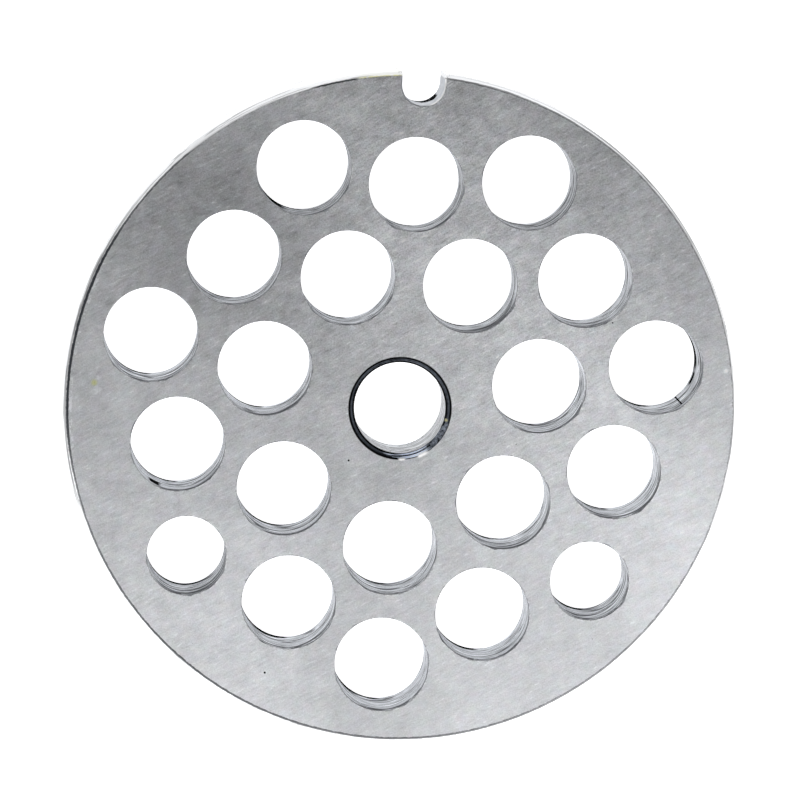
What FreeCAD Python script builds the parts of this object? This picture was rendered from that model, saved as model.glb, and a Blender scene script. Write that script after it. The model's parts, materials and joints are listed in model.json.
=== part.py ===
"""The drilled plate of a meat grinder: one flat steel disc with a bore, three rings of holes and a notch.

The disc lies on its back face. The origin is on the bore's axis at the back face, +Z points out of the
front face, which the knife runs on, and +Y points to the notch in the rim.
"""

import FreeCAD, Part
import math
import os

from FreeCAD import Matrix, Vector

# Disc, in millimetres
THICKNESS = 8.0
RIM_CHAMFER = 0.4  # edge broken all round, on both faces

# Bore, in which the pilot of the feed screw turns
BORE_DIAMETER = 9.5
BORE_CHAMFER = 0.55  # on both faces

# Holes that the meat leaves through, in an inner, a middle and an outer ring
HOLES_PER_RING = 7
HOLE_DIAMETER = 9.8
SMALL_HOLE_DIAMETER = 8.25  # the two holes of the outer ring beside the one opposite the notch
HUB_WALL = 5.0  # between the bore and a hole of the inner ring
SPOKE_WALL = 2.5  # between holes of the inner and the outer ring on one spoke
RIM_WALL = 3.15  # between a hole of the outer ring and the rim
MIDDLE_RING_OUTSET = 0.25  # how far the middle ring stands out from where its walls would be even

# Notch in the rim, which sits on the locating pin of the grinder's head
NOTCH_WIDTH = 4.4
NOTCH_DEPTH = 3.5

# Places worked out from the sizes above, from the bore outwards
BORE_RADIUS = BORE_DIAMETER / 2
INNER_RING_RADIUS = BORE_RADIUS + HUB_WALL + HOLE_DIAMETER / 2
OUTER_RING_RADIUS = INNER_RING_RADIUS + HOLE_DIAMETER + SPOKE_WALL
OUTER_RADIUS = OUTER_RING_RADIUS + HOLE_DIAMETER / 2 + RIM_WALL

SPOKE_PITCH = 360.0 / HOLES_PER_RING
FIRST_SPOKE = -90.0
EVEN_RING_RADIUS = (INNER_RING_RADIUS + OUTER_RING_RADIUS) / (2 * math.cos(math.radians(SPOKE_PITCH / 2)))
MIDDLE_RING_RADIUS = EVEN_RING_RADIUS + MIDDLE_RING_OUTSET
MIDDLE_RING_START = FIRST_SPOKE + SPOKE_PITCH / 2
SMALL_HOLE_SPOKES = (1, HOLES_PER_RING - 1)

# The notch is in line with the hole of the middle ring that lies across from the first spoke
NOTCH_ANGLE = MIDDLE_RING_START + (HOLES_PER_RING // 2) * SPOKE_PITCH

UP = Vector(0, 0, 1)
CUT_OVERRUN = 1.0  # how far a cutter runs past the surface that it leaves by


def polar(radius, angle, height=0.0):
    """The point at a radius and an angle in degrees round the bore's axis."""
    turn = math.radians(angle)
    return Vector(radius * math.cos(turn), radius * math.sin(turn), height)


def turned_disc():
    """The disc with its bore and chamfers, as one section turned round the bore's axis."""
    bore_edge = BORE_RADIUS + BORE_CHAMFER
    rim_edge = OUTER_RADIUS - RIM_CHAMFER
    section = [
        (bore_edge, 0),
        (rim_edge, 0),
        (OUTER_RADIUS, RIM_CHAMFER),
        (OUTER_RADIUS, THICKNESS - RIM_CHAMFER),
        (rim_edge, THICKNESS),
        (bore_edge, THICKNESS),
        (BORE_RADIUS, THICKNESS - BORE_CHAMFER),
        (BORE_RADIUS, BORE_CHAMFER),
    ]
    outline = Part.makePolygon([Vector(radius, 0, height) for radius, height in section + section[:1]])
    return Part.Face(outline).revolve(Vector(0, 0, 0), UP, 360)


def drill(diameter, centre):
    """A straight cutter that goes through both faces."""
    start = centre - UP * CUT_OVERRUN
    return Part.makeCylinder(diameter / 2, THICKNESS + 2 * CUT_OVERRUN, start, UP)


def ring_of_drills(radius, start_angle, diameters):
    """One cutter for each diameter in the list, evenly spaced round a ring."""
    pitch = 360.0 / len(diameters)
    return [
        drill(diameter, polar(radius, start_angle + index * pitch))
        for index, diameter in enumerate(diameters)
    ]


def hole_drills():
    """The cutters of all three rings: inner and outer on the spokes, middle between them."""
    full_ring = [HOLE_DIAMETER] * HOLES_PER_RING
    outer_ring = [
        SMALL_HOLE_DIAMETER if spoke in SMALL_HOLE_SPOKES else HOLE_DIAMETER
        for spoke in range(HOLES_PER_RING)
    ]
    return (
        ring_of_drills(INNER_RING_RADIUS, FIRST_SPOKE, full_ring)
        + ring_of_drills(MIDDLE_RING_RADIUS, MIDDLE_RING_START, full_ring)
        + ring_of_drills(OUTER_RING_RADIUS, FIRST_SPOKE, outer_ring)
    )


def notch_cutter():
    """A slot with a round end and straight sides, laid along +X and turned to the notch's place."""
    half_width = NOTCH_WIDTH / 2
    end_centre = OUTER_RADIUS - NOTCH_DEPTH + half_width
    mouth = OUTER_RADIUS + CUT_OVERRUN
    outer_low = Vector(mouth, -half_width, 0)
    outer_high = Vector(mouth, half_width, 0)
    inner_low = Vector(end_centre, -half_width, 0)
    inner_high = Vector(end_centre, half_width, 0)
    round_end = Part.Arc(inner_high, Vector(OUTER_RADIUS - NOTCH_DEPTH, 0, 0), inner_low).toShape()
    outline = Part.Wire([
        Part.makeLine(outer_low, outer_high),
        Part.makeLine(outer_high, inner_high),
        round_end,
        Part.makeLine(inner_low, outer_low),
    ])
    cutter = Part.Face(outline).extrude(UP * (THICKNESS + 2 * CUT_OVERRUN))
    cutter.translate(-UP * CUT_OVERRUN)
    turn = Matrix()
    turn.rotateZ(math.radians(NOTCH_ANGLE))
    return cutter.transformed(turn)


def grinder_plate():
    """The finished plate: the disc less its holes and its notch."""
    cutters = hole_drills() + [notch_cutter()]
    return turned_disc().cut(cutters)


os.makedirs("parts", exist_ok=True)
grinder_plate().exportStep("parts/grinder_plate.step")
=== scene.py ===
import json
import math
import random

import bpy
from mathutils import Matrix, Vector
from mathutils.geometry import delaunay_2d_cdt


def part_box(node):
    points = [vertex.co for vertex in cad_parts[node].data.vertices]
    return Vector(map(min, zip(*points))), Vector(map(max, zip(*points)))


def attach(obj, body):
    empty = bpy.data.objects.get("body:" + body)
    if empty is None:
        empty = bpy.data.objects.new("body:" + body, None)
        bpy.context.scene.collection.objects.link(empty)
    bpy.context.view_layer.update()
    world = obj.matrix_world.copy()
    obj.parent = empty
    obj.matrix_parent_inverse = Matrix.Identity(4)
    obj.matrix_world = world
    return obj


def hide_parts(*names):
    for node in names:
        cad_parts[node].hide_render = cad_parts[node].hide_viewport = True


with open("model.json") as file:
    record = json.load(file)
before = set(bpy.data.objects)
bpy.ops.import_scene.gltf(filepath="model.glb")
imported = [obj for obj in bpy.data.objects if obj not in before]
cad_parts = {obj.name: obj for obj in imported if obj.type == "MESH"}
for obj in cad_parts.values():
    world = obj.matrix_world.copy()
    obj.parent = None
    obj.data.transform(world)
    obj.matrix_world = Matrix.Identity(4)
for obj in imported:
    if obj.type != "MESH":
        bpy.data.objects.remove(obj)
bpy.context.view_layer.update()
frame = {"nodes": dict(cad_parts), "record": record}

MM = 0.001
FULL_TURN = 2 * math.pi
QUARTER = FULL_TURN / 4

# Sizes of the plate, read from the frame
PLATE_NODE = "grinder_plate"
plate_low, plate_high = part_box(PLATE_NODE)
BACK = plate_low.z
FRONT = plate_high.z
THICKNESS = FRONT - BACK
RIM_RADIUS = plate_high.x
mounts = {mount["name"]: mount for mount in frame["record"]["mounts"]}
BORE_RADIUS = mounts["bore"]["dims"]["r_mm"] * MM
BORE_CHAMFER = (THICKNESS - mounts["bore"]["dims"]["length_mm"] * MM) / 2
RIM_CHAMFER = (THICKNESS - mounts["rim"]["dims"]["length_mm"] * MM) / 2
NOTCH_END = Vector(mounts["key_notch"]["pos_m"][:2])

# Points along each edge of the plate
HOLE_POINTS = 90
BORE_POINTS = 144
RIM_POINTS = 420
NOTCH_END_POINTS = 30
NOTCH_SIDE_POINTS = 5
ROW_GAP = 0.7 * MM

# Edges as the tools left them. The faces were ground a little out of true with the turned rim,
# so that its chamfer is wide on one side and narrow on the other.
HOLE_LIP = 0.03 * MM
NOTCH_LIP = 0.13 * MM
RIM_LIP_SWING = 0.20 * MM
RIM_LIP_BEARING = 150
CORNER_ROUND = 0.10 * MM
FLAT_MARGIN = 0.2 * MM
LIP_ROUND = 0.015 * MM
SHOULDER = 0.05 * MM
MARK_MARGIN = 0.95 * MM

# Steps across a lip: share of its width, share of its depth, and wear
LIP_STEPS = (
    (0.92, 0.08, 0.9),
    (0.80, 0.20, 0.5),
    (0.50, 0.50, 0.0),
    (0.20, 0.80, 0.0),
    (0.08, 0.92, 0.0),
)

# Lines that the tools left in each wall, as count, depth, width and lean
TURNED_LINES = (7, 0.012 * MM, 0.25 * MM, 0.0)
BORED_LINES = (5, 0.015 * MM, 0.3 * MM, 0.0)
DRILLED_LINES = (4, 0.05 * MM, 0.35 * MM, 0.35 * MM)

# Nicks in each lip, as number and greatest size
RIM_NICKS = (26, 0.05 * MM)
BORE_NICKS = (3, 0.05 * MM)
HOLE_NICKS = (6, 0.13 * MM)
MARKS_SEED = 8

# Small pits in the ground faces, as (x, y, radius) in millimetres
FRONT_PITS = (
    (-4.94, -5.78, 0.14),
    (21.42, 10.36, 0.11),
    (-12.10, -28.58, 0.15),
)
BACK_PITS = (
    (8.40, 29.10, 0.13),
    (-29.50, -2.00, 0.12),
)
PIT_DEPTH = 0.7  # as a share of a pit's radius
PIT_POINTS = 12

# Camera, at the angle from which the plate was photographed
CAMERA_TARGET = Vector((0.469 * MM, -0.035 * MM, 0))
CAMERA_DISTANCE = 575.75 * MM
CAMERA_TILT = math.radians(7.5)
CAMERA_BEARING = math.radians(120.67)
PICTURE_TURN = math.radians(3.935)
LENS_MM = 246.2
SENSOR_MM = 36.0

# Floor and lamps, in metres and watts, and the brightness of the room, which falls with height
FLOOR_HALF = 1.5
LAMPS = (
    ("right_lamp", (0.106, -0.190, 0.263), 0.363, 0.53),
    ("left_lamp", (-0.20, -0.24, 0.25), 0.30, 1.17),
)
ROOM_RAMP = {"From Min": 0.1, "From Max": 0.8, "To Min": 0.79, "To Max": 0.09}


class EdgePoint:
    """A point on an edge of the plate: the way into the metal, and its lip's width and depth."""

    def __init__(self, place, inward, width, drop, flat=None):
        self.place = Vector(place)
        self.inward = Vector(inward).normalized()
        self.width = width
        self.drop = drop
        self.flat = flat or self.place + self.inward * (width + FLAT_MARGIN)


def around(centre, radius, count, first=0.0, sweep=FULL_TURN):
    """Places and outward directions round an arc. A full turn doesn't repeat its first point."""
    steps = count if abs(sweep) == FULL_TURN else count - 1
    for index in range(count):
        angle = first + sweep * index / steps
        outward = Vector((math.cos(angle), math.sin(angle)))
        yield Vector(centre) + outward * radius, outward


def round_edge(centre, radius, count, lip):
    """The edge of a round hole. It runs clockwise, so that its wall faces into the hole."""
    ring = around(centre, radius, count, 0, -FULL_TURN)
    return [EdgePoint(place, outward, lip, lip) for place, outward in ring]


def rim_lip(turn):
    """Width of the rim's chamfer at a turn round the plate."""
    return RIM_CHAMFER + RIM_LIP_SWING * math.cos(turn - math.radians(RIM_LIP_BEARING))


def notch_half_width():
    return min(
        (Vector(vertex.co.xy) - NOTCH_END).length
        for vertex in frame["nodes"][PLATE_NODE].data.vertices
    )


def notch_corner(half_width, side):
    """Three points round a corner of the notch, from the rim to the notch's side."""
    outer = Vector((side * half_width, math.sqrt(RIM_RADIUS ** 2 - half_width ** 2)))
    lip = rim_lip(math.atan2(outer.y, outer.x))
    inner_x = half_width + NOTCH_LIP
    inner = Vector((side * inner_x, math.sqrt((RIM_RADIUS - lip) ** 2 - inner_x ** 2)))
    inward = inner - outer
    flat = inner + Vector((side, -1)) * FLAT_MARGIN
    shifts = (
        Vector((side, 0)) * CORNER_ROUND,
        Vector((side, -1)) * CORNER_ROUND * 0.3,
        Vector((0, -1)) * CORNER_ROUND,
    )
    return [EdgePoint(outer + shift, inward, inward.length, lip, flat + shift) for shift in shifts]


def outline_edge():
    """The plate's outline: the turned rim, and the notch with its round end."""
    half_width = notch_half_width()
    mouth_turn = math.asin((half_width + NOTCH_LIP + FLAT_MARGIN + 2 * CORNER_ROUND) / RIM_RADIUS)
    right_corner = notch_corner(half_width, 1)
    left_corner = notch_corner(half_width, -1)

    def side(direction, corner):
        top = corner[-1].flat.y - CORNER_ROUND
        for index in range(NOTCH_SIDE_POINTS):
            height = top + (NOTCH_END.y - top) * index / NOTCH_SIDE_POINTS
            yield EdgePoint((direction * half_width, height), (direction, 0), NOTCH_LIP, NOTCH_LIP)

    points = []
    rim_first = QUARTER + mouth_turn
    rim_sweep = FULL_TURN - 2 * mouth_turn
    for place, outward in around((0, 0), RIM_RADIUS, RIM_POINTS, rim_first, rim_sweep):
        lip = rim_lip(math.atan2(outward.y, outward.x))
        points.append(EdgePoint(place, -outward, lip, lip))
    points += right_corner
    points += side(1, right_corner)
    for place, outward in around(NOTCH_END, half_width, NOTCH_END_POINTS, 0, -FULL_TURN / 2):
        points.append(EdgePoint(place, outward, NOTCH_LIP, NOTCH_LIP))
    points += list(side(-1, left_corner))[::-1]
    points += left_corner[::-1]
    return points


class ToolMarks:
    """The lines that a tool left round a wall, as the heights and depths of rows of points."""

    def __init__(self, chance, count, depth, width, lean):
        self.lean = chance.uniform(0.3, 1.0) * lean
        self.lean_turn = chance.uniform(0, FULL_TURN)
        self.wave_turn = chance.uniform(0, FULL_TURN)
        self.waves = chance.choice((2, 3, 4))
        usable = THICKNESS - 2 * MARK_MARGIN
        marks = []
        for index in range(count):
            height = BACK + MARK_MARGIN + usable * (index + chance.uniform(0.25, 0.75)) / count
            half = width * chance.uniform(0.7, 1.4) / 2
            cut = depth * chance.uniform(0.3, 1.0)
            marks += [(height + half, 0.0), (height, cut), (height - half, 0.0)]
        marks.sort(reverse=True)
        self.rows = marks

    def filled(self, top, bottom):
        """The rows, with plain ones added where the wall would be bare for long."""
        rows = []
        above = top
        for height, cut in self.rows + [(bottom, 0.0)]:
            gap = above - height
            extra = int(gap / ROW_GAP)
            rows += [(above - gap * (step + 1) / (extra + 1), 0.0) for step in range(extra)]
            if height > bottom:
                rows.append((height, cut))
            above = height
        return rows

    def place(self, turn, height, cut):
        """Height and depth of a row's point, at a turn round the wall."""
        middle = (height - BACK) / THICKNESS
        lean = self.lean * math.cos(turn - self.lean_turn) * 4 * middle * (1 - middle)
        wear = 0.65 + 0.35 * math.cos(self.waves * turn + self.wave_turn)
        return height + lean, cut * wear


class Skin:
    """The plate's surface while it is put together.

    Each point has a wear: 1 along the edge of a flat face, 0 on plain metal and -1 at the
    bottom of a pit.
    """

    def __init__(self):
        self.points = []
        self.wear = []
        self.faces = []
        self.flat = []

    def add_points(self, places, wear=0.0):
        first = len(self.points)
        self.points += places
        self.wear += [wear] * (len(self.points) - first)
        return list(range(first, len(self.points)))

    def add_faces(self, faces, flat):
        self.faces += faces
        self.flat += [flat] * len(faces)

    def bridge(self, upper, lower, flat):
        count = len(upper)
        self.add_faces(
            [
                (upper[index], lower[index], lower[(index + 1) % count], upper[(index + 1) % count])
                for index in range(count)
            ],
            flat,
        )

    def lip(self, edge, gains, face, into):
        """The rings of a lip, from flat face to wall. Into is 1 or -1, towards the metal."""

        def ring(width_share, drop_share, inset, sink, wear):
            places = []
            for point, gain in zip(edge, gains):
                spot = point.place + point.inward * ((point.width + gain) * width_share + inset)
                depth = (point.drop + gain) * drop_share + sink
                places.append((spot.x, spot.y, face + into * depth))
            return self.add_points(places, wear)

        return [
            self.add_points([(*point.flat, face) for point in edge]),
            ring(1, 0, LIP_ROUND, 0, 1.0),
            *(ring(width, drop, 0, 0, wear) for width, drop, wear in LIP_STEPS),
            ring(0, 1, 0, LIP_ROUND, 0.0),
            ring(0, 1, 0, SHOULDER, 0.0),
        ]

    def wall(self, edge, marks, front_nicks):
        """The wall down from an edge, with its lips. Gives the rings where the flat faces start."""
        front_lip = self.lip(edge, front_nicks, FRONT, -1)
        back_lip = self.lip(edge, [0.0] * len(edge), BACK, 1)
        turns = [math.atan2(point.inward.y, point.inward.x) for point in edge]
        drop = max(point.drop for point in edge) + max(front_nicks) + SHOULDER
        rows = []
        for height, cut in marks.filled(FRONT - drop, BACK + drop):
            places = []
            for point, turn in zip(edge, turns):
                level, depth = marks.place(turn, height, cut)
                spot = point.place + point.inward * depth
                places.append((spot.x, spot.y, level))
            rows.append(self.add_points(places))
        rings = [*front_lip, *rows, *reversed(back_lip)]
        for upper, lower in zip(rings, rings[1:]):
            self.bridge(upper, lower, flat=upper is front_lip[0] or lower is back_lip[0])
        return front_lip[0], back_lip[0]

    def pit(self, x, y, radius, height, outward):
        """A small round dent in a flat face."""
        ring = self.add_points([
            (place.x, place.y, height)
            for place, _ in around((x * MM, y * MM), radius * MM, PIT_POINTS)
        ])
        depth = outward * radius * MM * PIT_DEPTH
        bottom = self.add_points([(x * MM, y * MM, height - depth)], -1.0)[0]
        turned = ring if outward > 0 else ring[::-1]
        sides = zip(turned, turned[1:] + turned[:1])
        self.add_faces([(first, second, bottom) for first, second in sides], False)
        return ring

    def flat_face(self, outline, openings, outward):
        """The flat face between the outline's ring and the rings of what opens in it."""
        rings = [outline] + openings
        order = [index for ring in rings for index in ring]
        owner = {index: number for number, ring in enumerate(rings) for index in ring}
        places = [Vector(self.points[index][:2]) for index in order]
        edges = []
        start = 0
        for ring in rings:
            count = len(ring)
            edges += [(start + index, start + (index + 1) % count) for index in range(count)]
            start += count
        _, _, triangles, sources, _, _ = delaunay_2d_cdt(places, edges, [], 0, 1e-9)
        kept = []
        for triangle in triangles:
            corners = [order[sources[corner][0]] for corner in triangle]
            owners = {owner[corner] for corner in corners}
            if len(owners) == 1 and self.is_open(corners, owners == {0}, outline):
                continue
            kept.append(corners if outward > 0 else corners[::-1])
        self.add_faces([tuple(corners) for corners in kept], True)

    def is_open(self, corners, on_outline, outline):
        """Whether a triangle between points of one ring lies in a hole, or outside the outline."""
        if not on_outline:
            return True
        x = sum(self.points[corner][0] for corner in corners) / 3
        y = sum(self.points[corner][1] for corner in corners) / 3
        inside = False
        for first, second in zip(outline, outline[1:] + outline[:1]):
            x1, y1 = self.points[first][:2]
            x2, y2 = self.points[second][:2]
            if (y1 > y) != (y2 > y) and x < x1 + (x2 - x1) * (y - y1) / (y2 - y1):
                inside = not inside
        return not inside

    def make(self, name):
        mesh = bpy.data.meshes.new(name)
        mesh.from_pydata(self.points, [], self.faces)
        mesh.attributes.new("wear", "FLOAT", "POINT").data.foreach_set("value", self.wear)
        mesh.validate()
        mesh.polygons.foreach_set("use_smooth", [not flat for flat in self.flat])
        mesh.update()
        piece = bpy.data.objects.new(name, mesh)
        bpy.context.scene.collection.objects.link(piece)
        return piece


def nicks(chance, count, number, size):
    """Small bites out of a lip, as what each point's lip gains."""
    gains = [0.0] * count
    for _ in range(number):
        middle = chance.uniform(0, count)
        width = chance.uniform(0.5, 2.0)
        depth = size * chance.uniform(0.3, 1.0)
        for index in range(count):
            away = abs(index - middle)
            away = min(away, count - away)
            gains[index] += depth * math.exp(-(away / width) ** 2)
    return [min(gain, size) for gain in gains]


def drilled_holes():
    """Centre and radius of each hole that meat leaves through."""
    vertices = [vertex.co.xy for vertex in frame["nodes"][PLATE_NODE].data.vertices]
    for opening in frame["record"]["physics"]["openings"]:
        low, high = opening["box_m"]
        centre = Vector(((low[0] + high[0]) / 2, (low[1] + high[1]) / 2))
        yield centre, min((vertex - centre).length for vertex in vertices)


def ground_plate():
    """The whole plate as one closed surface."""
    chance = random.Random(MARKS_SEED)
    skin = Skin()
    edge = outline_edge()
    turned = ToolMarks(chance, *TURNED_LINES)
    front, back = skin.wall(edge, turned, nicks(chance, len(edge), *RIM_NICKS))
    fronts, backs = [], []
    bored = ToolMarks(chance, *BORED_LINES)
    bore = round_edge((0, 0), BORE_RADIUS, BORE_POINTS, BORE_CHAMFER)
    walls = [(bore, bored, nicks(chance, BORE_POINTS, *BORE_NICKS))]
    for centre, radius in drilled_holes():
        drilled = ToolMarks(chance, *DRILLED_LINES)
        hole = round_edge(centre, radius, HOLE_POINTS, HOLE_LIP)
        walls.append((hole, drilled, nicks(chance, HOLE_POINTS, *HOLE_NICKS)))
    for wall in walls:
        wall_front, wall_back = skin.wall(*wall)
        fronts.append(wall_front)
        backs.append(wall_back)
    fronts += [skin.pit(*pit, FRONT, 1) for pit in FRONT_PITS]
    backs += [skin.pit(*pit, BACK, -1) for pit in BACK_PITS]
    skin.flat_face(front, fronts, 1)
    skin.flat_face(back, backs, -1)
    return skin.make("ground_plate")


class Value:
    """A socket of a finish. Arithmetic on it adds Math nodes."""

    def __init__(self, finish, socket):
        self.finish = finish
        self.socket = socket

    def math(self, operation, *values):
        return self.finish.node("Math", {"operation": operation}, dict(enumerate(values)))

    def __add__(self, other):
        return self.math("ADD", self, other)

    def __sub__(self, other):
        return self.math("SUBTRACT", self, other)

    def __rsub__(self, other):
        return self.math("SUBTRACT", other, self)

    def __mul__(self, other):
        return self.math("MULTIPLY", self, other)

    def __truediv__(self, other):
        return self.math("DIVIDE", self, other)

    def __pow__(self, other):
        return self.math("POWER", self, other)

    def __neg__(self):
        return self * -1

    def __abs__(self):
        return self.math("ABSOLUTE", self)

    __radd__ = __add__
    __rmul__ = __mul__

    def rise(self, low, high):
        """0 up to low and 1 from high, with a smooth step between them. Low may be the larger."""
        if low > high:
            return 1 - self.rise(high, low)
        return self.finish.node(
            "MapRange",
            {"interpolation_type": "SMOOTHSTEP", "clamp": True},
            {"Value": self, "From Min": low, "From Max": high},
        )

    def capped(self, most=1.0):
        return self.math("MINIMUM", self, most)

    def contour(self, width):
        """1 on the lines where the value passes through 0, and 0 from a width on."""
        return abs(self).rise(width, width * 0.3)


class Finish:
    """A material, and the nodes that vary it over the surface."""

    def __init__(self, name):
        self.material = bpy.data.materials.new(name)
        self.material.use_nodes = True
        self.tree = self.material.node_tree
        self.shader = self.tree.nodes["Principled BSDF"]

    def node(self, kind, settings=None, sockets=None, output=0):
        """A node: its settings are made first, then its sockets take values or links."""
        node = self.tree.nodes.new("ShaderNode" + kind)
        for name, setting in (settings or {}).items():
            setattr(node, name, setting)
        for name, value in (sockets or {}).items():
            self.feed(node.inputs[name], value)
        return Value(self, node.outputs[output])

    def feed(self, socket, value):
        if isinstance(value, Value):
            self.tree.links.new(value.socket, socket)
        elif socket.type == "RGBA":
            socket.default_value = (*value, 1.0)
        else:
            socket.default_value = value

    def parts(self, vector):
        """The three parts of a vector, as values."""
        split = self.node("SeparateXYZ", None, {0: vector}).socket.node
        return [Value(self, socket) for socket in split.outputs]

    def vector(self, x, y, z):
        return self.node("CombineXYZ", None, {0: x, 1: y, 2: z})

    def noise(self, vector, scale, detail, roughness=0.5):
        """Noise about 0, which mostly stays within a quarter of 1 either way."""
        sockets = {"Vector": vector, "Scale": scale, "Detail": detail, "Roughness": roughness}
        return self.node("TexNoise", None, sockets) - 0.5

    def colour_noise(self, vector, scale, amount):
        """Colours about white, which differ by an amount at most."""
        sockets = {"Vector": vector, "Scale": scale, "Detail": 1.0, "Roughness": 0.7}
        colours = self.node("TexNoise", None, sockets, output="Color")
        return self.node(
            "VectorMath",
            {"operation": "MULTIPLY_ADD"},
            {0: colours, 1: (amount,) * 3, 2: (1 - amount / 2,) * 3},
        )

    def blend(self, amount, first, second):
        """Two colours mixed by an amount."""
        return self.node("Mix", {"data_type": "RGBA"}, {0: amount, 6: first, 7: second}, output=2)

    def tinted(self, colour, amount):
        """A colour made lighter or darker by a value that is 1 where nothing changes."""
        return self.node("VectorMath", {"operation": "SCALE"}, {0: colour, "Scale": amount})

    def times(self, first, second):
        """Two colours multiplied part by part."""
        return self.node("VectorMath", {"operation": "MULTIPLY"}, {0: first, 1: second})

    def over(self, amount, under, upper):
        """Two looks mixed. A look is a colour, and how much of the metal's shine is lost."""
        return self.blend(amount, under[0], upper[0]), under[1] + (upper[1] - under[1]) * amount

    def set(self, name, value):
        self.feed(self.shader.inputs[name], value)


class Whereabouts:
    """Where a point of the plate lies, in millimetres, and which way it faces."""

    def __init__(self, finish):
        self.finish = finish
        place = finish.node("TexCoord", output="Object")
        self.place = finish.node("VectorMath", {"operation": "SCALE"}, {0: place, "Scale": 1 / MM})
        self.x, self.y, self.z = finish.parts(self.place)
        self.nx, self.ny, self.nz = finish.parts(finish.node("TexCoord", output="Normal"))
        self.radius = (self.x * self.x + self.y * self.y) ** 0.5
        self.height = self.z - BACK / MM
        self.wear = finish.node("Attribute", {"attribute_name": "wear"}, output="Fac")
        self.fine = finish.noise(self.place, 2.2, 2.0, 0.7)
        self.broad = finish.noise(self.place, 0.30, 4.0, 0.8)

        swing = self.bearing(RIM_LIP_BEARING) * (RIM_LIP_SWING / MM)
        self.past_edge = self.radius - ((RIM_RADIUS - RIM_CHAMFER) / MM - swing)

    def towards(self, turn):
        """How far out a point lies in a direction."""
        return self.x * math.cos(turn) + self.y * math.sin(turn)

    def bearing(self, degrees):
        """1 at a bearing from the bore's axis, 0 square to it and -1 across from it."""
        return self.towards(math.radians(degrees)) / self.radius

    def faces(self, degrees):
        """How squarely the surface faces a bearing."""
        turn = math.radians(degrees)
        return self.nx * math.cos(turn) + self.ny * math.sin(turn)

    def near(self, x, y, reach):
        """1 at a place and 0 from a reach on."""
        away = (self.x - x) ** 2 + (self.y - y) ** 2
        return (away ** 0.5).rise(reach, 0.0)

    def wall_noise(self, along, down, start, detail, roughness):
        """Noise for a wall, with one scale along it and another down it."""
        place = self.finish.vector(self.x * along, self.y * along, self.height * down + start)
        return self.finish.noise(place, 1.0, detail, roughness)

    def scratch(self, x, y, degrees, length, width):
        """A short straight line about a place."""
        turn = math.radians(degrees)
        along = (self.x - x) * math.cos(turn) + (self.y - y) * math.sin(turn)
        across = (self.y - y) * math.cos(turn) - (self.x - x) * math.sin(turn)
        return abs(along).rise(length / 2, length / 8) * abs(across).rise(width, 0.0)


def grey(level, cool=0.0):
    """A grey that leans to blue by a small share."""
    return (level * (1 - cool), level * (1 - 0.3 * cool), level * (1 + cool))


GRAIN_TURN = math.radians(31)

# Tones of the steel where each tool left it, of what marks it, and of painted shade, painted
# reflections and painted highlights
GROUND = grey(0.66, 0.025)
DRILLED = grey(0.68, 0.035)
BORED = grey(0.72, 0.02)
MILLED = grey(0.55, 0.05)
TURNED = grey(0.89, 0.015)
SHADED_HOLE_LIP = grey(0.30, 0.05)
PAINTED_LIT_NOTCH_LIP = grey(0.85)
PAINTED_GLINT_WHITE = grey(1.0)
BORE_BLUE = grey(1.0, 0.14)
BLACK = grey(0.004, 0.1)
PAINTED_REFLECTION_BLACK = grey(0.04, 0.1)
PIT_BLACK = grey(0.02)
STAINED = (1.02, 1.02, 0.55)
VARNISHED = (0.74, 0.73, 0.44)
SPECK = (0.50, 0.47, 0.26)

# Marks on the front face, in millimetres: scratches and painted glints as (x, y, degrees, length,
# width), and the rest as (x, y, reach)
SCRATCHES = (
    (2.75, 33.82, 42, 1.2, 0.12),
    (2.63, 34.08, 38, 0.7, 0.10),
)
CHIPS = (
    (17.46, 9.28, 0.22),
    (20.31, 6.09, 0.22),
    (33.62, 6.12, 0.40),
    (-13.16, 31.62, 0.30),
)
STAIN = (-31.80, 0.62, 0.50)
STAIN_EDGES = (
    (-31.45, -0.25, 0.75),
    (-31.45, 1.15, 0.50),
)
VARNISH = (-4.6, 34.6, 3.4)
WORN_PATCH = (4.0, 26.0, 50.0)
BORE_SPECK = (4.90, -0.95, 0.24)
PAINTED_GLINTS = (
    (2.72, -4.62, 31, 1.6, 0.30),
    (0.57, -5.30, 6, 1.0, 0.20),
)

# Black patches on the walls, as (x, y, reach, lowest, highest), with heights above the back; those
# low along the back edge are painted shade
BLACK_PATCHES = (
    (-14.6, 20.4, 2.2, 0.0, 4.5),
    (24.2, 1.5, 2.4, 0.0, 1.6),
    (30.9, 7.6, 3.4, 0.0, 1.7),
    (30.9, 4.4, 1.0, 1.0, 1.8),
    (29.4, 2.25, 0.13, 0.5, 6.5),
    (-24.9, -9.6, 0.9, 4.6, 6.6),
    (-14.5, -13.0, 2.6, 0.0, 1.0),
    (8.9, -13.3, 3.0, 0.0, 0.9),
    (-12.9, -25.0, 3.6, 0.0, 1.1),
    (7.5, -25.1, 3.2, 0.0, 1.1),
    (18.6, -20.1, 2.2, 0.0, 1.5),
    (-3.5, -30.3, 1.8, 0.0, 1.8),
    (-21.6, -20.9, 5.0, 0.3, 0.8),
)

# Bearings round the bore's axis, in degrees, of what differs round the rim and the bore, painted
# shade, reflections and highlights among them
RIM_LEFT = 172
RIM_RIGHT = 40
RIM_BOTTOM = 275
BURRED_EDGE = 176
TORN_EDGE = 121
BLACK_STROKE = 106
REFLECTING_BORE_SIDE = -42
BORE_HIGHLIGHT_SIDE = -78

# Bearings that the walls face where painted shade darkens them: the holes' back and front edges,
# and the notch's back edge
SHADED_BACK_SIDE = 52
SHADED_FRONT_SIDE = 130
SHADED_NOTCH_SIDE = 106

# Reach of the notch's finish, in millimetres, each as where it ends and where it is whole
NOTCH_SIDES = (2.75, 2.55)
NOTCH_FLOOR = (30.5, 31.0)
NOTCH_MOUTH = (RIM_RADIUS / MM - 0.4, RIM_RADIUS / MM - 0.6)
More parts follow.
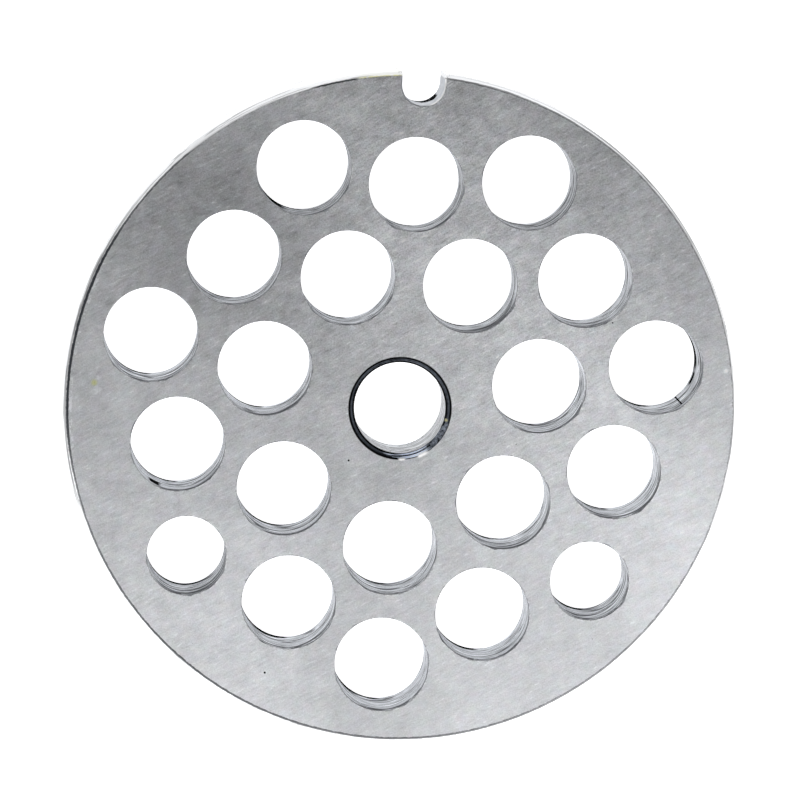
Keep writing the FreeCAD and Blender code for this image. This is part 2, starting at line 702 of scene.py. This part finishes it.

# Painted light over the faces: a painted highlight band across the grain, and round patches of
# painted light and shade
PAINTED_HIGHLIGHT_BAND_TURN = math.radians(42)
PAINTED_HIGHLIGHT_BAND = (15.35, 18.0, 0.217)  # place along its turn, half width, gain
PAINTED_LIGHT_PATCHES = (
    (-18.3, 17.8, 20.0, -0.22),
    (-22.7, -20.6, 20.0, 0.12),
    (0.2, -30.7, 12.5, -0.17),
)


def ground_face(steel, at):
    """The ground faces: short strokes along the grain, specks, and a painted highlight band with
    patches of painted light and shade.
    """
    along = at.towards(GRAIN_TURN)
    across = at.towards(GRAIN_TURN + QUARTER)
    strokes = steel.noise(steel.vector(along * 0.9, across * 3.6, at.z), 1.0, 2.0, 0.6)
    streaks = steel.noise(steel.vector(along * 0.25, across * 1.1, at.z + 5), 1.0, 1.0, 0.6)
    specks = steel.noise(at.place, 6.5, 1.0, 0.5)
    wear_and_painted_reflection = 0.74 + at.near(*WORN_PATCH) * 0.70
    level = 1 + (strokes * 0.50 + streaks * 0.20 + specks * 0.60 + at.broad * 0.54) * wear_and_painted_reflection
    level = level + (strokes.rise(0.14, 0.24) * 0.20 - (-strokes).rise(0.16, 0.26) * 0.10) * wear_and_painted_reflection
    level = level + at.fine.rise(0.20, 0.28) * 0.22 - (-at.fine).rise(0.24, 0.30) * 0.4
    level = level + steel.noise(at.place, 0.09, 0.0) * 0.16

    # Painted highlight band and patches of painted light and shade, standing in for the face's
    # broad reflection of the lamps
    middle, half, gain = PAINTED_HIGHLIGHT_BAND
    painted_light = 1 + abs(at.towards(PAINTED_HIGHLIGHT_BAND_TURN) - middle).rise(half, 0.0) * gain
    for x, y, reach, change in PAINTED_LIGHT_PATCHES:
        painted_light = painted_light + at.near(x, y, reach) * change
    level = level * painted_light

    on_front = at.nz.rise(0.95, 0.99)
    chips = sum(at.near(*chip) for chip in CHIPS)
    chips = chips + sum(at.scratch(*scratch) for scratch in SCRATCHES)
    pale = sum(at.near(*edge) for edge in STAIN_EDGES) * (0.5 + at.fine * 2.5)
    burr = at.bearing(BURRED_EDGE).rise(0.93, 0.98) * at.past_edge.rise(-0.50, -0.35)
    burr = burr * (at.fine + at.broad).rise(0.02, 0.10)
    level = level + (chips * 0.5 + pale * 0.35 + burr * 0.25) * on_front

    # Edges of the holes: duller in patches where drilling left burrs, and brighter in others as
    # painted highlights on the burrs
    edge = at.wear.rise(0.2, 1.0)
    dull = edge * at.fine.rise(0.0, 0.12)
    level = level * (1 - dull * 0.45) + edge * (-at.fine).rise(0.05, 0.14) * 0.35

    colour = steel.tinted(GROUND, level)
    colour = steel.times(colour, steel.colour_noise(at.place, 0.9, 0.085))
    stained = steel.times(colour, STAINED)
    colour = steel.blend((at.near(*STAIN) * on_front * 1.3).capped(), colour, stained)
    roughness = 0.38 + strokes * 0.10 + at.broad * 0.10
    return (colour, dull * 0.4), strokes, roughness


def black_patch(at, x, y, reach, lowest, highest):
    """1 inside a black patch on a wall."""
    from_lowest = at.height.rise(lowest - 0.3, lowest)
    to_highest = at.height.rise(highest + 0.5, highest + 0.2)
    return at.near(x, y, reach) * from_lowest * to_highest


def drilled_wall(steel, at):
    """The walls of the holes: dull, with dark rings, painted shade along the back and front edges,
    and black patches.
    """
    top = THICKNESS / MM
    rings = at.wall_noise(0.045, 0.5, 0, 1.0, 0.5)
    hairs = at.wall_noise(0.10, 1.0, 40, 1.0, 0.5)
    grain = at.wall_noise(0.6, 1.6, 90, 2.0, 0.8)
    # Painted shade: black along the back edge of walls that face one bearing, and dark along the
    # front edge of walls that face another
    back_line = at.faces(SHADED_BACK_SIDE).rise(0.70, 0.80) * (at.height + grain).rise(1.3, 1.1)
    back_line = back_line * at.broad.rise(-0.12, -0.08)
    front_line = at.faces(SHADED_FRONT_SIDE).rise(0.35, 0.60) * at.height.rise(top - 1.1, top - 0.9)
    darker_row = abs(at.y + 7).rise(10, 7) * 0.15
    front_line = front_line * (grain + at.broad + darker_row).rise(-0.03, 0.08)
    black_patches = sum(black_patch(at, *patch_place) for patch_place in BLACK_PATCHES)
    black = (back_line * 0.95 + black_patches * 2.2).capped()
    lines = (rings.contour(0.03) * 1.1 + hairs.contour(0.035) * 1.0 + front_line).capped()
    bright = (rings + 0.05).contour(0.02) * 0.6 + (hairs - 0.05).contour(0.02) * 0.4
    level = (1 + grain * 1.6 + bright) * (1 - lines * 0.72) * (1 - black * 0.98)
    # Painted shade: the walls darker towards +y
    level = level * (1 - at.y.rise(0, 25) * 0.14)
    return steel.tinted(DRILLED, level), 0.7 + ((lines + black) * 0.3).capped(0.3)


def bored_wall(steel, at):
    """The bore's wall, polished by the screw's pilot."""
    streaks = at.wall_noise(0.25, 1.1, 20, 2.0, 0.75)
    back_line = at.height.rise(1.1, 0.8) * (streaks + at.fine).rise(-0.05, 0.05)
    level = (1 + streaks * 2.2) * (1 - back_line * 0.7) * (1 - streaks.contour(0.025) * 0.6)
    return steel.tinted(BORED, level), 0.75 + back_line * 0.25


def notch_wall(steel, at):
    """The milled wall of the notch, with painted shade along its back edge."""
    lines = at.wall_noise(1.2, 0.5, 0, 2.0, 0.6)
    # Painted shade: black along the back edge of the notch's wall, on the side that faces one
    # bearing
    black = at.faces(SHADED_NOTCH_SIDE).rise(0.74, 0.82)
    black = black * (at.height + lines * 4 + at.nx * 1.8).rise(2.6, 2.2)
    black = black * (at.fine - at.nx * 0.1).rise(-0.11, -0.08)
    level = (1 + lines * 0.9) * (1 - black * 0.98)
    return steel.tinted(MILLED, level), 0.4 + black * 0.6


def turned_rim(steel, at):
    """The turned rim and its chamfer: bright, greyer at the foot, and with painted shade on the
    chamfer round two sides.
    """
    lines = steel.noise(steel.vector(at.nx * 3, at.ny * 3, at.height * 2.4), 1.0, 2.0, 0.6)
    out = at.past_edge
    # Painted shade: a grey band on the chamfer, strongest round the left and right sides
    shoulder = out.rise(0.15, 0.24) * out.rise(0.45, 0.34)
    sides = at.bearing(RIM_LEFT).rise(0.84, 0.94) * 0.80
    sides = sides + at.bearing(RIM_RIGHT).rise(0.88, 0.97) * 0.65
    shade = shoulder * (sides + 0.05)
    foot = at.height.rise(2.2, 0.3)
    level = (1 + lines * 0.8) * (1 - lines.contour(0.045) * 0.40) * (1 - shade * 0.68)
    level = level * (1 - foot * 0.22)
    colour = steel.tinted(TURNED, level)
    thick = out.rise(0.18, 0.08) * at.fine.rise(-0.16, 0.10)
    varnished = at.near(*VARNISH).rise(0.1, 0.4) * (thick + 0.12)
    return steel.blend(varnished.capped(), colour, VARNISHED), shade * 0.8


def painted_rim_reflection(at):
    """How dark the painted reflection is: a dark line that runs round where the face meets the
    rim's chamfer.
    """
    lower = at.bearing(RIM_BOTTOM).rise(0.0, 1.0)
    left = at.bearing(RIM_LEFT).rise(0.90, 0.98)
    half = lower * 0.035 + left * 0.05
    line = abs(at.past_edge + at.fine * 0.12 - half) - half
    strength = 0.58 + at.bearing(RIM_LIP_BEARING) * 0.26 + lower * 0.36 + left * 0.20
    strength = strength + at.bearing(BLACK_STROKE).rise(0.978, 0.99) * 0.20
    missing = at.bearing(TORN_EDGE).rise(0.974, 0.986) * 0.85
    missing = missing + at.near(*VARNISH).rise(0.1, 0.4)
    return (line.rise(0.14, 0.05) * strength).capped() * (1 - missing.capped())


def bore_chamfer(steel, at):
    """The chamfer of the bore: black, with paler rings along its middle, a painted reflection on
    the lower right and painted highlights at the bottom.
    """
    share = (at.radius - BORE_RADIUS / MM) / (BORE_CHAMFER / MM)
    rings = steel.noise(steel.vector(at.radius * 8, at.nx * 1.5, at.ny * 1.5), 1.0, 1.0, 0.6)
    middle = share.rise(0.26, 0.42) * share.rise(0.84, 0.68)
    # Painted reflection on the lower right, and painted highlights in bright rings at the bottom
    wear_and_painted_reflection = at.bearing(REFLECTING_BORE_SIDE).rise(0.80, 0.97)
    painted_bore_highlight = at.bearing(BORE_HIGHLIGHT_SIDE).rise(0.86, 0.96) * rings.rise(0.0, 0.06)
    level = 0.004 + middle * (0.055 + rings * 0.25 + at.fine * 0.15)
    level = level + wear_and_painted_reflection * (0.11 + at.fine * 0.9) + painted_bore_highlight
    colour = steel.tinted(BORE_BLUE, level)
    return steel.blend(at.near(*BORE_SPECK), colour, SPECK), 1.0


def ground_steel():
    """The plate's one finish: each of its surfaces is told apart by place and facing."""
    steel = Finish("ground_steel")
    at = Whereabouts(steel)
    rim = RIM_RADIUS / MM
    bore_edge = (BORE_RADIUS + BORE_CHAMFER) / MM
    on_face = abs(at.nz).rise(0.95, 0.99)
    on_wall = abs(at.nz).rise(0.45, 0.25)
    in_notch = abs(at.x).rise(*NOTCH_SIDES) * at.y.rise(*NOTCH_FLOOR) * at.radius.rise(*NOTCH_MOUTH)
    at_rim = at.radius.rise(rim - 0.9, rim - 0.8) * (1 - in_notch)
    at_bore = at.radius.rise(bore_edge + 0.3, bore_edge + 0.2)
    in_pit = (-at.wear).rise(0.1, 0.4)

    face, relief, roughness = ground_face(steel, at)
    face = steel.over(at.radius.rise(bore_edge + 0.12, bore_edge + 0.05), face, (BLACK, 1.0))
    rim_look = turned_rim(steel, at)
    wall = steel.over(in_notch, drilled_wall(steel, at), notch_wall(steel, at))
    wall = steel.over(at_bore, wall, bored_wall(steel, at))
    wall = steel.over(at_rim, wall, rim_look)

    # Lips: painted shade and dark reflection on the holes and on one side of the notch, painted
    # light on the notch's other side, bright on the rim, black on the bore
    painted_lit_notch_side = in_notch * (-at.nx).rise(0.1, 0.4)
    lip = steel.tinted(SHADED_HOLE_LIP, 1 + at.fine * 2.0), 0.5
    lip = steel.over(painted_lit_notch_side, lip, (PAINTED_LIT_NOTCH_LIP, 0.3))
    lip = steel.over(at_rim, lip, rim_look)
    lip = steel.over(at_bore, lip, bore_chamfer(steel, at))

    look = steel.over(on_wall, lip, wall)
    look = steel.over(on_face, look, face)
    # Painted dark reflection along the rim's edge
    line = painted_rim_reflection(at) * at_rim * (1 - on_wall)
    look = steel.over(line, look, (PAINTED_REFLECTION_BLACK, 1.0))
    # Painted highlights: white glints on the edge of the bore's chamfer
    painted_glints = sum(at.scratch(*painted_glint) for painted_glint in PAINTED_GLINTS)
    painted_glints = painted_glints * at.nz.rise(0.3, 0.5) * (1.3 + at.fine * 3)
    look = steel.over(painted_glints.capped(), look, (PAINTED_GLINT_WHITE, 1.0))
    colour, lost_shine = steel.over(in_pit, look, (PIT_BLACK, 1.0))

    steel.set("Base Color", colour)
    steel.set("Metallic", 1 - lost_shine)
    steel.set("Specular IOR Level", 0.0)
    steel.set("Roughness", roughness)
    bump = {"Strength": 0.25, "Distance": 0.02 * MM, "Height": relief * 0.8}
    steel.set("Normal", steel.node("Bump", None, bump, output="Normal"))
    return steel.material


def pale_floor():
    """A plain floor that photographs white."""
    floor_finish = Finish("pale_floor")
    floor_finish.set("Base Color", (0.9, 0.9, 0.9))
    floor_finish.set("Roughness", 0.9)
    floor_finish.set("Emission Color", (1, 1, 1))
    floor_finish.set("Emission Strength", 1.0)
    half = FLOOR_HALF
    mesh = bpy.data.meshes.new("floor")
    corners = [(-half, -half, BACK), (half, -half, BACK), (half, half, BACK), (-half, half, BACK)]
    mesh.from_pydata(corners, [], [(0, 1, 2, 3)])
    mesh.materials.append(floor_finish.material)
    floor = bpy.data.objects.new("floor", mesh)
    bpy.context.scene.collection.objects.link(floor)


def soft_lamp(name, place, size, power):
    """A large square lamp that points at the plate."""
    lamp = bpy.data.lights.new(name, "AREA")
    lamp.shape = "SQUARE"
    lamp.size = size
    lamp.energy = power
    holder = bpy.data.objects.new(name, lamp)
    holder.location = place
    holder.rotation_euler = (-Vector(place)).to_track_quat("-Z", "Y").to_euler()
    bpy.context.scene.collection.objects.link(holder)


def studio():
    """Two soft lamps over the near side, and a room that is dim overhead and bright low down."""
    for lamp in LAMPS:
        soft_lamp(*lamp)
    world = bpy.data.worlds.new("room")
    world.use_nodes = True
    tree = world.node_tree
    backdrop = tree.nodes["Background"]
    backdrop.inputs["Color"].default_value = (1, 1, 1, 1)
    direction = tree.nodes.new("ShaderNodeTexCoord")
    split = tree.nodes.new("ShaderNodeSeparateXYZ")
    ramp = tree.nodes.new("ShaderNodeMapRange")
    for name, value in ROOM_RAMP.items():
        ramp.inputs[name].default_value = value
    tree.links.new(direction.outputs["Generated"], split.inputs[0])
    tree.links.new(split.outputs[2], ramp.inputs["Value"])
    tree.links.new(ramp.outputs[0], backdrop.inputs["Strength"])
    bpy.context.scene.world = world
    bpy.context.scene.view_settings.view_transform = "Standard"


def camera():
    """The camera, tilted off the plate's axis towards its bearing."""
    lens = bpy.data.cameras.new("camera")
    lens.lens = LENS_MM
    lens.sensor_width = SENSOR_MM
    lens.clip_start = 0.01
    lens.clip_end = 10
    tilt_axis = Vector((-math.sin(CAMERA_BEARING), math.cos(CAMERA_BEARING), 0))
    turn = Matrix.Rotation(CAMERA_TILT, 4, tilt_axis) @ Matrix.Rotation(PICTURE_TURN, 4, "Z")
    holder = bpy.data.objects.new("camera", lens)
    holder.matrix_world = (
        Matrix.Translation(CAMERA_TARGET) @ turn @ Matrix.Translation((0, 0, CAMERA_DISTANCE))
    )
    bpy.context.scene.collection.objects.link(holder)
    bpy.context.scene.camera = holder


plate = ground_plate()
plate.data.materials.append(ground_steel())
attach(plate, "root")
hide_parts(PLATE_NODE)
pale_floor()
studio()
camera()
